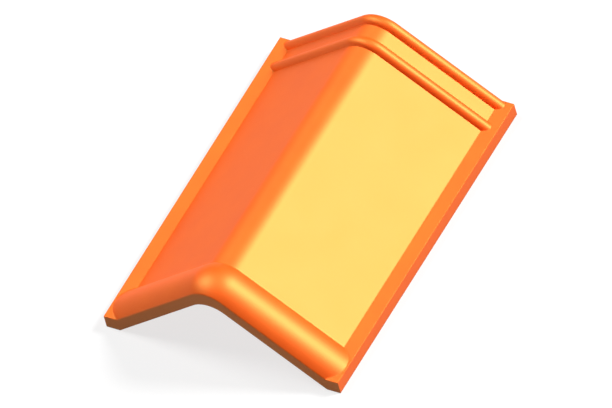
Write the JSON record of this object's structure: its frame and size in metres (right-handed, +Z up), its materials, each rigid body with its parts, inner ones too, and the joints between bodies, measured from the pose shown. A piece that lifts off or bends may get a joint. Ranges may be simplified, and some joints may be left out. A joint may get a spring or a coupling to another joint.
{
  "type": "ridge tile",
  "caption": "Angular clay ridge tile: two wings with flat flanges, a broad roll over the head and narrow ribs over the tail.",
  "frame": {"origin": "under the middle of the tile, on the level of the flanges' undersides", "axes": "+Y along the ridge towards the ribbed tail, +X across the tile, +Z up through the ridge"},
  "size_m": [0.282, 0.4, 0.1144],
  "materials": {
    "fired_clay": "satin"
  },
  "bodies": {
    "root": {"ridge_tile": "fired_clay"}
  },
  "joints": []
}
